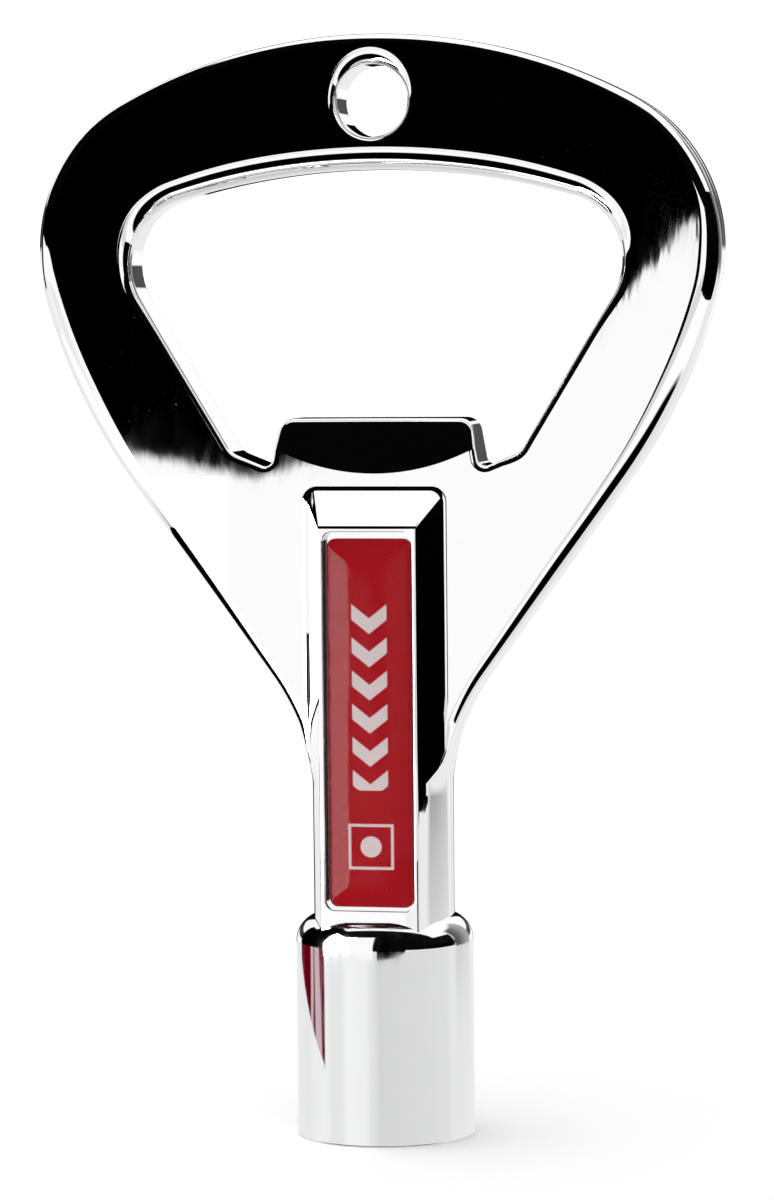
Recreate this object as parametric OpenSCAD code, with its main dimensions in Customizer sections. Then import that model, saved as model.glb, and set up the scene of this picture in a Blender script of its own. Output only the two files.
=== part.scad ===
/* [Head] */
// Half of the width across the widest point of the head
head_half_w = 24.76; // [24:0.02:26]
// Height of the crown above the socket end
head_top_z = 78.4; // [77:0.1:80]
// Thickness of the head plate
head_t = 4.4; // [4:0.1:5]
// Radius of the crown
crown_r = 39; // [37:0.5:42]
// Half angle that the crown arc spans
crown_span = 28; // [26:0.5:30]
// Angle below level where the corner arc gives way to the side arc
corner_drop = 16; // [12:1:18]
// Lean of the straight flanks from upright
flank_lean = 36.4; // [35:0.1:38]
// Height where each flank starts to curve into the shank
waist_z = 33; // [32:0.5:34]
// Radius of the hollow curve between flank and shank
waist_r = 16.5; // [15:0.5:18]
// Rounding of the outer edge
rim_r = 1; // [0.6:0.1:1.2]

/* [Opener] */
// Half of the width across the widest point of the opening
opening_half_w = 17.75; // [17.2:0.05:18.2]
// Highest point of the opening
opening_top_z = 68.85; // [68:0.05:69.4]
// Radius of the top edge of the opening
opening_top_r = 52; // [48:1:60]
// Half angle that the top edge of the opening spans
opening_top_span = 16; // [15:0.5:17]
// Lean of the opening's sides from upright
opening_side_lean = 31; // [30:0.5:32]
// Height of the lip that catches the cap
lip_z = 51.3; // [51:0.1:51.6]
// Half of the width of the lip
lip_half_w = 6.9; // [6.6:0.1:7.1]
// Lowest point of the notches beside the lip
notch_z = 47.7; // [47.4:0.1:48.2]
// Rounding of the opening's edges
opening_edge_r = 0.7; // [0.4:0.1:0.9]
// Radius of the hollow that thins the lip
dish_r = 40; // [36:1:50]
// Radius of the rim that the hollow leaves on the front face
dish_rim_r = 15.5; // [15:0.1:16]
// Lowest point of the hollow
dish_bottom_z = 47.4; // [47:0.1:48]

/* [Key ring hole] */
// Radius of the key ring hole
ring_hole_r = 2.55; // [2.3:0.05:2.8]
// Height of the centre of the key ring hole
ring_hole_z = 73.7; // [73.5:0.05:74.4]
// Countersink of each mouth of the key ring hole
ring_hole_edge = 0.7; // [0.4:0.1:0.9]

/* [Shank] */
// Half of the width of the shank
shank_half_w = 4.95; // [4.8:0.05:5.1]
// Half of the width of the raised face
face_half_w = 3.53; // [3.4:0.01:3.7]
// Distance of the raised face from the middle plane
face_y = 4.8; // [4.6:0.1:5]
// Height where the shank's bevelled end meets the head plate
boss_base_z = 46.3; // [46:0.1:46.6]
// Height of the top edge of the raised face
boss_face_z = 43.75; // [43.6:0.05:44]

/* [Socket] */
// Outer radius of the socket barrel
barrel_r = 6.35; // [6.35:0.05:7]
// Length of the socket barrel
barrel_h = 15.9; // [15.5:0.1:16.1]
// Rounding of the barrel's shoulder
shoulder_r = 2; // [1.5:0.05:2]
// Chamfer of the barrel's open end
foot_chamfer = 0.35; // [0.2:0.05:0.5]
// Width across the flats of the square socket
socket_w = 5.7; // [5:0.1:6]
// Depth of the square socket
socket_depth = 10; // [9:0.5:11]
// Radius of the lead-in cone at the socket's mouth
lead_in_r = 4.6; // [4.4:0.1:5]

/* [Label] */
// Half of the width of the label recess
recess_half_w = 3.22; // [3.15:0.01:3.3]
// Bottom of the label recess
recess_low_z = 16.6; // [16.4:0.1:17]
// Top of the label recess
recess_high_z = 43.4; // [43:0.05:43.5]
// Depth of the label recess
recess_depth = 0.9; // [0.7:0.05:1.2]
// Gap between the label and the sides of its recess
label_gap = 0.2; // [0.15:0.01:0.3]
// Gap between the label and the top of its recess
label_top_gap = 0.5; // [0.3:0.1:0.8]
// Rounding of the label's corners
label_corner_r = 0.6; // [0.4:0.1:0.8]
// Thickness of the adhesive layer
adhesive_t = 0.1; // [0.05:0.01:0.15]
// Thickness of the printed film
film_t = 0.15; // [0.1:0.01:0.2]
// Height of the clear dome above the film, at its middle
dome_h = 0.75; // [0.5:0.05:0.9]
// Height of the clear dome above the film, at its long edges
dome_edge_h = 0.35; // [0.2:0.05:0.45]

/* [Hidden] */
$fn = 72;
// Overrun that lets a cutter pass through a face
over = 1;
// Angle between two points of an arc, and steps of an edge rounding
arc_step = 5;
round_steps = 2;
// Rounding of the notch's two corners and of the lip's corners
notch_outer_r = 1.3;
notch_inner_r = 0.5;
lip_corner_r = 1.1;
// Slope of the notch floor and of the lip's sides
notch_floor_slope = 22;
lip_side_lean = 10;
tang_chamfer = 0.5;
// Angle left between the shank's side and the end of the waist curve
waist_kink = 12.75;

crown_centre = [0, head_top_z - crown_r];
// The corner radius that brings the head out to its half width
corner_r = (head_half_w - crown_r * sin(crown_span)) / (1 - sin(crown_span));
corner_centre = crown_centre + (crown_r - corner_r) * [sin(crown_span), cos(crown_span)];
// A flank point below the side arc, and the flank's outward normal
flank_normal = [cos(flank_lean), -sin(flank_lean)];
flank_start = [shank_half_w + waist_r * (cos(waist_kink) - cos(flank_lean)), waist_z];
waist_centre = flank_start + waist_r * flank_normal;
// The side arc touches the corner arc and the flank
side_turn = cos(flank_lean - corner_drop);
flank_reach = (flank_start - corner_centre) * flank_normal;
side_r = (flank_reach - corner_r * side_turn) / (1 - side_turn);
side_centre = corner_centre - (side_r - corner_r) * [cos(corner_drop), -sin(corner_drop)];

opening_centre = [0, opening_top_z - opening_top_r];
opening_corner_r = (opening_half_w - opening_top_r * sin(opening_top_span)) / (1 - sin(opening_top_span));
opening_corner_centre = opening_centre
    + (opening_top_r - opening_corner_r) * [sin(opening_top_span), cos(opening_top_span)];
// Corners of the lower part of the opening, before rounding
opening_side_end = opening_corner_centre
    + opening_corner_r * [cos(opening_side_lean), -sin(opening_side_lean)];
lip_corner = [lip_half_w, lip_z];
notch_inner = lip_corner + (lip_z - notch_z) * [tan(lip_side_lean), -1];
notch_outer = meet(opening_side_end, [-sin(opening_side_lean), -cos(opening_side_lean)],
    notch_inner, [cos(notch_floor_slope), sin(notch_floor_slope)]);

function unit(v) = v / norm(v);
function cross2(a, b) = a[0] * b[1] - a[1] * b[0];
// Point where the line from p along u crosses the line from q along v
function meet(p, u, q, v) = p + u * cross2(q - p, v) / cross2(u, v);
// Points of an arc, ends included
function arc(centre, r, from, to) =
    let (n = max(1, ceil(abs(to - from) / arc_step)))
    [for (i = [0:n]) let (a = from + (to - from) * i / n) centre + r * [cos(a), sin(a)]];
// Points that round the corner at p between the points before and after it
function rounded(before, p, after, r) =
    let (
        u = unit(before - p),
        v = unit(after - p),
        half = acos(u * v) / 2,
        centre = p + unit(u + v) * r / sin(half),
        first = p + u * r / tan(half) - centre,
        last = p + v * r / tan(half) - centre,
        a = atan2(first[1], first[0]),
        turn = cross2(first, last) > 0 ? 180 - 2 * half : 2 * half - 180
    )
    arc(centre, r, a, a + turn);
// The right half of an outline and its mirror image, as one closed outline
function both_sides(half) =
    let (n = len(half))
    concat(half, [for (i = [n - 1:-1:0]) if (half[i][0] > 0.001) [-half[i][0], half[i][1]]]);
// A clockwise outline moved outwards by d, point by point
function grown(outline, d) =
    let (n = len(outline))
    [for (i = [0:n - 1])
        let (t = unit(outline[(i + 1) % n] - outline[(i + n - 1) % n]))
        outline[i] + d * [-t[1], t[0]]];
// Offsets [growth, distance from the middle plane] of an edge rounded by r
function rounding(r) = [for (i = [0:round_steps]) let (a = 90 * i / round_steps) r * [cos(a) - 1, sin(a) - 1]];

head_half = concat(
    arc(crown_centre, crown_r, 90, 90 - crown_span),
    arc(corner_centre, corner_r, 90 - crown_span - arc_step, -corner_drop),
    arc(side_centre, side_r, -corner_drop - arc_step, -flank_lean),
    arc(waist_centre, waist_r, 180 - flank_lean, 180 - waist_kink),
    [[shank_half_w - rim_r, waist_z - waist_r / 2]]
);
opening_half = concat(
    arc(opening_centre, opening_top_r, 90, 90 - opening_top_span),
    arc(opening_corner_centre, opening_corner_r, 90 - opening_top_span - arc_step, -opening_side_lean),
    rounded(opening_side_end, notch_outer, notch_inner, notch_outer_r),
    rounded(notch_outer, notch_inner, lip_corner, notch_inner_r),
    rounded(notch_inner, lip_corner, [0, lip_z], lip_corner_r),
    [[0, lip_z]]
);

// A solid through closed outlines of equal length, each [outline, y]
module loft(rings) {
    n = len(rings[0][0]);
    m = len(rings);
    points = [for (ring = rings) for (p = ring[0]) [p[0], ring[1], p[1]]];
    sides = [for (k = [0:m - 2]) for (i = [0:n - 1]) for (half = [0, 1])
        let (a = k * n + i, b = k * n + (i + 1) % n)
        half == 0 ? [a, a + n, b] : [b, a + n, b + n]];
    first = [for (i = [0:n - 1]) i];
    last = [for (i = [n - 1:-1:0]) (m - 1) * n + i];
    polyhedron(points, concat([first], sides, [last]));
}

// The head's plate before it is pierced, with rounded edges front and back
module plate_blank() {
    outline = both_sides(head_half);
    edge = rounding(rim_r);
    steps = len(edge) - 1;
    loft(concat(
        [for (i = [steps:-1:0]) [grown(outline, edge[i][0]), -head_t / 2 - edge[i][1]]],
        [for (i = [0:steps]) [grown(outline, edge[i][0]), head_t / 2 + edge[i][1]]]
    ));
}

// The opening with its flared edges, as a cutter
module opening_cutter() {
    outline = both_sides(opening_half);
    edge = rounding(opening_edge_r);
    steps = len(edge) - 1;
    loft(concat(
        [[grown(outline, opening_edge_r), -head_t / 2 - over]],
        [for (i = [steps:-1:0]) [grown(outline, -edge[i][0]), -head_t / 2 - edge[i][1]]],
        [for (i = [0:steps]) [grown(outline, -edge[i][0]), head_t / 2 + edge[i][1]]],
        [[grown(outline, opening_edge_r), head_t / 2 + over]]
    ));
}

// The key ring hole with a countersink at each mouth, as a cutter
module ring_hole_cutter() {
    translate([0, 0, ring_hole_z])
    rotate([90, 0, 0]) {
        cylinder(h = head_t + 2 * over, r = ring_hole_r, center = true);
        for (end = [0, 1])
            mirror([0, 0, end])
            translate([0, 0, head_t / 2 - ring_hole_edge])
            cylinder(h = ring_hole_edge, r1 = ring_hole_r, r2 = ring_hole_r + ring_hole_edge);
    }
}

// The shallow round hollow in front of the lip, as a cutter
module dish_cutter() {
    depth_y = sqrt(dish_r * dish_r - dish_rim_r * dish_rim_r);
    intersection() {
        translate([0, -head_t / 2 - depth_y, dish_bottom_z + dish_rim_r])
        sphere(r = dish_r);
        translate([-dish_rim_r, -head_t, notch_z - over])
        cube([2 * dish_rim_r, 2 * head_t, lip_z - notch_z + 2 * over]);
    }
}

// The shank: bevelled front and back, with a sloped upper end
module shank() {
    intersection() {
        translate([0, 0, barrel_h])
        linear_extrude(boss_base_z - barrel_h)
        polygon([
            [face_half_w, face_y], [shank_half_w, head_t / 2],
            [shank_half_w, -head_t / 2], [face_half_w, -face_y],
            [-face_half_w, -face_y], [-shank_half_w, -head_t / 2],
            [-shank_half_w, head_t / 2], [-face_half_w, face_y]
        ]);
        rotate([90, 0, 90])
        linear_extrude(2 * shank_half_w, center = true)
        polygon([
            [-face_y, barrel_h], [face_y, barrel_h],
            [face_y, boss_face_z], [head_t / 2, boss_base_z],
            [-head_t / 2, boss_base_z], [-face_y, boss_face_z]
        ]);
    }
}

// The square end of the casting that is pressed into the barrel
module tang() {
    tip = socket_w / 2 - tang_chamfer;
    translate([0, 0, socket_depth + tang_chamfer])
    linear_extrude(barrel_h + over - socket_depth - tang_chamfer)
    square(socket_w, center = true);
    translate([0, 0, socket_depth])
    linear_extrude(tang_chamfer)
    square(2 * tip, center = true);
}

// A rounded upright panel on the front: width, low z, high z, back y, thickness
module panel(half_w, low_z, high_z, back_y, thickness) {
    r = label_corner_r;
    translate([0, back_y, 0])
    rotate([90, 0, 0])
    linear_extrude(thickness) {
        translate([r - half_w, low_z])
        square([2 * (half_w - r), high_z - low_z]);
        translate([-half_w, low_z + r])
        square([2 * half_w, high_z - low_z - 2 * r]);
        for (x = [r - half_w, half_w - r], z = [low_z + r, high_z - r])
            translate([x, z])
            circle(r);
    }
}

module label_panel(floor_gap, thickness) {
    panel(recess_half_w - label_gap, recess_low_z + label_gap, recess_high_z - label_top_gap,
        recess_depth - face_y - floor_gap, thickness);
}

module key_body() {
    color("silver")
    difference() {
        union() {
            difference() {
                plate_blank();
                opening_cutter();
                ring_hole_cutter();
                dish_cutter();
            }
            shank();
            tang();
        }
        panel(recess_half_w, recess_low_z, recess_high_z, recess_depth - face_y, recess_depth + over);
    }
}

module socket_barrel() {
    color("gainsboro")
    difference() {
        rotate_extrude()
        difference() {
            union() {
                square([barrel_r, barrel_h - shoulder_r]);
                square([barrel_r - shoulder_r, barrel_h]);
                translate([barrel_r - shoulder_r, barrel_h - shoulder_r])
                circle(shoulder_r);
            }
            polygon([
                [barrel_r - foot_chamfer, 0], [barrel_r - foot_chamfer, -over],
                [barrel_r + over, -over], [barrel_r + over, foot_chamfer], [barrel_r, foot_chamfer]
            ]);
        }
        translate([0, 0, -over])
        linear_extrude(barrel_h + 2 * over)
        square(socket_w, center = true);
        translate([0, 0, -over])
        cylinder(h = lead_in_r - socket_w / 2 + over, r1 = lead_in_r + over, r2 = socket_w / 2);
    }
}

module label_adhesive() {
    color("gainsboro")
    label_panel(0, adhesive_t);
}

module label_film() {
    color("firebrick")
    label_panel(adhesive_t, film_t);
}

module label_dome() {
    half_w = recess_half_w - label_gap;
    back_y = recess_depth - face_y - adhesive_t - film_t;
    rise = dome_h - dome_edge_h;
    crown = (half_w * half_w + rise * rise) / (2 * rise);
    color("mistyrose", 0.4)
    intersection() {
        label_panel(adhesive_t + film_t, dome_h + over);
        translate([0, back_y - dome_h + crown, 0])
        cylinder(h = head_top_z, r = crown, $fn = 200);
    }
}

key_body();
socket_barrel();
label_adhesive();
label_film();
label_dome();
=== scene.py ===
"""A chrome radiator bleed key with a bottle opener head, a square socket and a domed label.

Lengths in this script are millimetres until a mesh is made; Blender's objects are in metres, and so
are the camera's place and the floor's size.
x runs across the head, y runs from the front (negative) to the back, and z is up.
"""

from math import acos, atan2, ceil, cos, degrees, hypot, pi, radians, sin, sqrt, tan

import bpy
from mathutils import Matrix, Vector, geometry


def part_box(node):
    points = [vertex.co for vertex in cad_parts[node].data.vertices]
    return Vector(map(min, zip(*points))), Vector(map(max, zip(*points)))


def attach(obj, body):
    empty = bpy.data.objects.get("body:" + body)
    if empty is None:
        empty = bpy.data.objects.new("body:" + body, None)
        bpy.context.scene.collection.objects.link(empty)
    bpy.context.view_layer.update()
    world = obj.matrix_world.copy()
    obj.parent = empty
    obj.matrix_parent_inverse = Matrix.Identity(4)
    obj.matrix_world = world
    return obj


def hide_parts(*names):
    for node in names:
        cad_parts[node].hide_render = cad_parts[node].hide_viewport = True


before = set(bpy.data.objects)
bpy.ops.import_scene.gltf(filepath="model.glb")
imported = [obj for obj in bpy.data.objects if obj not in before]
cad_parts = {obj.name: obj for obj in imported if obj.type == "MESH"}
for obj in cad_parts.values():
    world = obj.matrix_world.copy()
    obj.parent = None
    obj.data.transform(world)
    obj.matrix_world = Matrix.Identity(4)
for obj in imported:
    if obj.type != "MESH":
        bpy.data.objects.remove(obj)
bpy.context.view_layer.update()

MM = 0.001


def box_mm(node):
    """The lowest and highest corner of a CAD node, in millimetres."""
    return [Vector(corner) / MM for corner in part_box(node)]


key_high = box_mm("key_body")[1]
barrel_high = box_mm("socket_barrel")[1]
film_low, film_high = box_mm("label_film")
dome_low, dome_high = box_mm("label_dome")

# ------------ sizes
# A half width is measured from x = 0 and a y size from the middle plane. Spans, drops, leans, kinks
# and slopes are angles in degrees.

# The head's plate and the arcs of its outline
HEAD_HALF_W = key_high.x
HEAD_TOP_Z = key_high.z
PLATE_Y = 2.2
CROWN_R = 39.0
CROWN_SPAN = 28.0
CORNER_DROP = 16.0
FLANK_LEAN = 36.4
WAIST_Z = 33.0
WAIST_R = 16.5
WAIST_KINK = 12.75

# The shank, and the raised face that it carries in front and behind
SHANK_HALF_W = 4.95
FACE_Y = key_high.y
FACE_HALF_W = 3.53
BOSS_BASE_Z = 46.3
BOSS_FACE_Z = 43.75

# The opening, its lip and the notches beside the lip
OPENING_HALF_W = 17.75
OPENING_TOP_Z = 68.85
OPENING_TOP_R = 52.0
OPENING_TOP_SPAN = 16.0
OPENING_SIDE_LEAN = 31.0
LIP_Z = 51.3
LIP_HALF_W = 6.9
LIP_SIDE_LEAN = 10.0
LIP_CORNER_R = 1.1
NOTCH_Z = 47.7
NOTCH_FLOOR_SLOPE = 22.0
NOTCH_INNER_R = 0.6
NOTCH_OUTER_R = 1.4

# The hollow in front of the lip: a ball, the circle it cuts in the front face and its centre's height
DISH_R = 40.0
DISH_RIM_R = 15.5
DISH_Z = 62.9

# The key ring hole
RING_R = 2.55
RING_Z = 73.7

# The barrel and its bore. The shank sinks a little way into the barrel's rounded shoulder.
BARREL_R = barrel_high.x
BARREL_H = barrel_high.z
SHOULDER_R = 2.0
SHANK_SINK = 0.95
SHANK_FOOT_Z = BARREL_H - SHANK_SINK
SOCKET_HALF = 2.85
SOCKET_DEPTH = 10.0
LEAD_IN_R = 4.6

# The recess of the label
RECESS_HALF_W = 3.22
RECESS_LOW_Z = 16.6
RECESS_HIGH_Z = 43.4
RECESS_FLOOR_Y = -3.9

# ------------ mesh tools

# Points are welded when they round to the same place. The shift keeps round sizes clear of halfway.
WELD_DIGITS = 3
WELD_SHIFT = 0.00037
# Places closer than this are the same place
TOUCH = 1e-6
# Shortest vector that still has a direction, and the slack of a flat patch's triangulation
SHORTEST = 1e-9
PATCH_SLACK = 1e-7


def add_object(name, data):
    """A new object in the scene."""
    made = bpy.data.objects.new(name, data)
    bpy.context.scene.collection.objects.link(made)
    return made


class Skin:
    """Collects welded vertices, faces and the normal of each face corner."""

    def __init__(self):
        self.points, self.index, self.faces, self.normals = [], {}, [], []

    def vertex(self, point):
        """The number of the vertex at a point, made when there is none yet."""
        key = tuple(round(value + WELD_SHIFT, WELD_DIGITS) for value in point)
        if key not in self.index:
            self.index[key] = len(self.points)
            self.points.append(Vector(point))
        return self.index[key]

    def face(self, corners):
        """corners is a list of (point, normal), in the order that faces outwards."""
        ids, normals = [], []
        for point, normal in corners:
            vertex = self.vertex(point)
            if vertex not in ids:
                ids.append(vertex)
                normals.append(normal)
        if len(ids) > 2:
            self.faces.append(ids)
            self.normals.extend(normals)

    def sheet(self, rows, flip=False, closed=False):
        """A grid of (point, normal); rows[0] runs along the strip, rows go across it."""
        count = len(rows[0])
        for near, far in zip(rows, rows[1:]):
            for i in range(count if closed else count - 1):
                k = (i + 1) % count
                quad = [near[i], far[i], far[k], near[k]]
                self.face(quad[::-1] if flip else quad)

    def strip(self, sections, flip=False, closed=False):
        """Sections along a path, each a list of (point, tangent across the strip)."""
        count = len(sections)
        rows = []
        for j in range(len(sections[0])):
            row = []
            for i in range(count):
                if closed:
                    before, after = sections[i - 1][j][0], sections[(i + 1) % count][j][0]
                else:
                    before = sections[max(i - 1, 0)][j][0]
                    after = sections[min(i + 1, count - 1)][j][0]
                point, across = sections[i][j]
                normal = across.cross(after - before)
                normal = normal.normalized() if normal.length > SHORTEST else Vector((0, -1, 0))
                row.append((point, -normal if flip else normal))
            rows.append(row)
        self.sheet(rows, flip, closed)

    def flat(self, loops, normal):
        """A plane patch between closed loops of points; a loop inside another is a hole."""
        normal = Vector(normal)
        drop = max(range(3), key=lambda axis: abs(normal[axis]))
        kept = [axis for axis in range(3) if axis != drop]
        points = [Vector(point) for loop in loops for point in loop]
        flat_points = [Vector((p[kept[0]], p[kept[1]])) for p in points]
        edges, start, outlines = [], 0, []
        for loop in loops:
            count = len(loop)
            edges += [(start + i, start + (i + 1) % count) for i in range(count)]
            outlines.append(flat_points[start : start + count])
            start += count
        found, _, triangles, origin, _, _ = geometry.delaunay_2d_cdt(
            flat_points, edges, [], 0, PATCH_SLACK
        )
        for triangle in triangles:
            middle = sum((found[i] for i in triangle), Vector((0, 0))) / len(triangle)
            if sum(inside(middle, outline) for outline in outlines) % 2 == 0:
                continue
            corners = [points[origin[i][0]] for i in triangle if origin[i]]
            if len(corners) != 3:
                continue
            side = (corners[1] - corners[0]).cross(corners[2] - corners[0]).dot(normal)
            if side < 0:
                corners.reverse()
            self.face([(corner, normal) for corner in corners])

    def make(self, name, material):
        """The finished piece, with its mesh in metres."""
        mesh = bpy.data.meshes.new(name)
        mesh.from_pydata([p * MM for p in self.points], [], self.faces)
        mesh.shade_smooth()
        mesh.normals_split_custom_set([tuple(normal) for normal in self.normals])
        mesh.materials.append(material)
        return add_object(name, mesh)


def inside(point, outline):
    """True if a 2-D point lies within a closed outline."""
    within = False
    for a, b in zip(outline, outline[1:] + outline[:1]):
        if (a.y > point.y) != (b.y > point.y):
            if point.x < a.x + (b.x - a.x) * (point.y - a.y) / (b.y - a.y):
                within = not within
    return within


def bend(first, corner, last, steps):
    """(point, tangent) along the round that joins two straight runs which meet at corner."""
    to, onwards = corner - first, last - corner
    if to.length < TOUCH or onwards.length < TOUCH:
        whole = last - first
        return [(first + whole * i / steps, whole) for i in range(steps + 1)]
    weight = cos(to.angle(onwards) / 2)
    made = []
    for i in range(steps + 1):
        t = i / steps
        a, b, c = (1 - t) ** 2, 2 * t * (1 - t) * weight, t * t
        point = (first * a + corner * b + last * c) / (a + b + c)
        tangent = to * weight * (1 - t) ** 2 + (last - first) * t * (1 - t)
        tangent = tangent + onwards * weight * t * t
        made.append((point, tangent))
    return made


# ------------ outlines
# An outline is a list of (x, z, normal x, normal z), anticlockwise seen from the front.

# Smallest distance between two points of an outline and of a closed loop, and from the middle line
# to a point that has a mirror image
POINT_GAP = 0.02
LOOP_GAP = 0.001
MIDDLE_GAP = 0.001


def arc(x, z, r, start, end, step=2.0, facing=1):
    """Outline points on an arc; facing is 1 where the normal points away from the centre."""
    count = max(1, ceil(abs(end - start) / step))
    made = []
    for i in range(count + 1):
        a = radians(start + (end - start) * i / count)
        made.append((x + r * cos(a), z + r * sin(a), facing * cos(a), facing * sin(a)))
    return made


def line(x, z, to_x, to_z, spacing, facing=1):
    """Outline points on a straight run, with the normal on its right hand side."""
    length = hypot(to_x - x, to_z - z)
    count = max(1, ceil(length / spacing))
    nx, nz = facing * (to_z - z) / length, -facing * (to_x - x) / length
    return [(x + (to_x - x) * i / count, z + (to_z - z) * i / count, nx, nz) for i in range(count + 1)]


def joined(*runs):
    """Runs one after another, without the points that repeat."""
    made = []
    for run in runs:
        for point in run:
            if not made or hypot(point[0] - made[-1][0], point[1] - made[-1][1]) > POINT_GAP:
                made.append(point)
    return made


def mirrored(half):
    """A right half, from low to high, and its mirror image, as one path."""
    return half + [(-x, z, -nx, nz) for x, z, nx, nz in reversed(half) if x > MIDDLE_GAP]


def head_half():
    """The head's outline from the foot of the shank to the top of the crown."""
    crown_z = HEAD_TOP_Z - CROWN_R
    span, lean = radians(CROWN_SPAN), radians(FLANK_LEAN)
    corner_r = (HEAD_HALF_W - CROWN_R * sin(span)) / (1 - sin(span))
    corner = Vector((0, crown_z)) + (CROWN_R - corner_r) * Vector((sin(span), cos(span)))
    flank_normal = Vector((cos(lean), -sin(lean)))
    kink = radians(WAIST_KINK)
    flank = Vector((SHANK_HALF_W + WAIST_R * (cos(kink) - cos(lean)), WAIST_Z))
    waist = flank + WAIST_R * flank_normal
    turn = cos(radians(FLANK_LEAN - CORNER_DROP))
    side_r = ((flank - corner).dot(flank_normal) - corner_r * turn) / (1 - turn)
    drop = radians(CORNER_DROP)
    side = corner - (side_r - corner_r) * Vector((cos(drop), -sin(drop)))
    side_end = side + side_r * flank_normal
    # The shank's side ends a little below the kink and the waist starts a little past it
    side_top_z, waist_start = waist.y + WAIST_R * sin(kink) - 0.3, 180 - WAIST_KINK - 1
    return joined(
        line(SHANK_HALF_W, SHANK_FOOT_Z, SHANK_HALF_W, side_top_z, 1.0),
        arc(waist.x, waist.y, WAIST_R, waist_start, 180 - FLANK_LEAN, 1.0, -1),
        line(flank.x, flank.y, side_end.x, side_end.y, 1.0),
        arc(side.x, side.y, side_r, -FLANK_LEAN, -CORNER_DROP, 1.0),
        arc(corner.x, corner.y, corner_r, -CORNER_DROP, 90 - CROWN_SPAN, 2.0),
        arc(0, crown_z, CROWN_R, 90 - CROWN_SPAN, 90, 1.0),
    )


def rounded(before, corner, after, r, step=8.0):
    """The arc that rounds a corner of an outline, with normals to the right of its course."""
    u, v = (before - corner).normalized(), (after - corner).normalized()
    half = acos(max(-1, min(1, u.dot(v)))) / 2
    centre = corner + (u + v).normalized() * r / sin(half)
    first, last = corner + u * r / tan(half) - centre, corner + v * r / tan(half) - centre
    turn = 180 - degrees(2 * half)
    left = (corner - before).cross(after - corner) > 0
    start = degrees(atan2(first.y, first.x))
    return arc(centre.x, centre.y, r, start, start + (turn if left else -turn), step, 1 if left else -1)


def opening_half():
    """The opening's outline from the middle of the lip to the middle of its top edge."""
    span, lean = radians(OPENING_TOP_SPAN), radians(OPENING_SIDE_LEAN)
    top_z = OPENING_TOP_Z - OPENING_TOP_R
    corner_r = (OPENING_HALF_W - OPENING_TOP_R * sin(span)) / (1 - sin(span))
    corner = Vector((0, top_z)) + (OPENING_TOP_R - corner_r) * Vector((sin(span), cos(span)))
    side_end = corner + corner_r * Vector((cos(lean), -sin(lean)))
    lip = Vector((LIP_HALF_W, LIP_Z))
    inner = lip + (LIP_Z - NOTCH_Z) * Vector((tan(radians(LIP_SIDE_LEAN)), -1))
    u = Vector((-sin(lean), -cos(lean)))
    v = Vector((cos(radians(NOTCH_FLOOR_SLOPE)), sin(radians(NOTCH_FLOOR_SLOPE))))
    outer = side_end + u * (inner - side_end).cross(v) / u.cross(v)
    lip_round = rounded(Vector((0, LIP_Z)), lip, inner, LIP_CORNER_R)
    inner_round = rounded(lip, inner, outer, NOTCH_INNER_R)
    outer_round = rounded(inner, outer, side_end, NOTCH_OUTER_R)

    def run(a, b, spacing):
        return line(a[0], a[1], b[0], b[1], spacing)

    return joined(
        run((0, LIP_Z), lip_round[0], 0.7),
        lip_round,
        run(lip_round[-1], inner_round[0], 0.25),
        inner_round,
        run(inner_round[-1], outer_round[0], 0.5),
        outer_round,
        run(outer_round[-1], side_end, 0.8),
        arc(corner.x, corner.y, corner_r, -OPENING_SIDE_LEAN, 90 - OPENING_TOP_SPAN, 3.0),
        arc(0, top_z, OPENING_TOP_R, 90 - OPENING_TOP_SPAN, 90, 0.8),
    )


def blend_value(value, knots):
    """A value between knots of (position, result), held at the ends."""
    if value <= knots[0][0]:
        return knots[0][1]
    for (a, low), (b, high) in zip(knots, knots[1:]):
        if value <= b:
            t = (value - a) / (b - a)
            return low + (high - low) * t * t * (3 - 2 * t)
    return knots[-1][1]


# ------------ the casting

ROUND_STEPS = 10
# Below SIDE_TOP_Z the outline is the shank's side, up to WAIST_TOP_Z the plate beside the shank is
# narrow, and above WAIST_END_Z the outline is well clear of the shank
SIDE_TOP_Z = 30
WAIST_TOP_Z = 34
WAIST_END_Z = 40

# The faint seam round the casting's edge: (distance from the middle plane, share of its height)
SEAM_RISE = 0.03
SEAM_PROFILE = ((-0.2, 0.0), (-0.1, 0.6), (0.0, 1.0), (0.1, 0.6), (0.2, 0.0))
# Rounding of the head's outer edge by height, its largest depth and its share of a narrow plate
RIM_KNOTS = ((30, 0.75), (42, 1.15), (54, 1.55), (62, 1.55), (68, 1.1), (73, 0.75), (76.5, 0.62))
RIM_DEPTH = 1.5
RIM_SHARE = 0.9
# How far the shank's side runs up the bevel, by height, and how deep it rounds the side itself
BEVEL_UP = Vector((FACE_HALF_W - SHANK_HALF_W, PLATE_Y - FACE_Y, 0)).normalized()
BEVEL_KNOTS = ((17, 2.45), (25.5, 2.1), (27, 0.3))
BEVEL_DEPTH = 1.9

# Rounding of the opening's edge: along the lip and its notches, and elsewhere by height
LIP_EDGE_R = 0.45
LIP_ZONE_HALF_W = 9.5
LIP_ZONE_Z = 52.5
OPENING_KNOTS = ((50, 0.5), (57, 0.55), (61.5, 0.85), (66, 1.35), (68.3, 1.62))
# Limits of the part of the plate that the hollow reaches
DISH_HALF_W = 8
DISH_TOP_Z = 52
DISH_STEPS = 12

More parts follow.
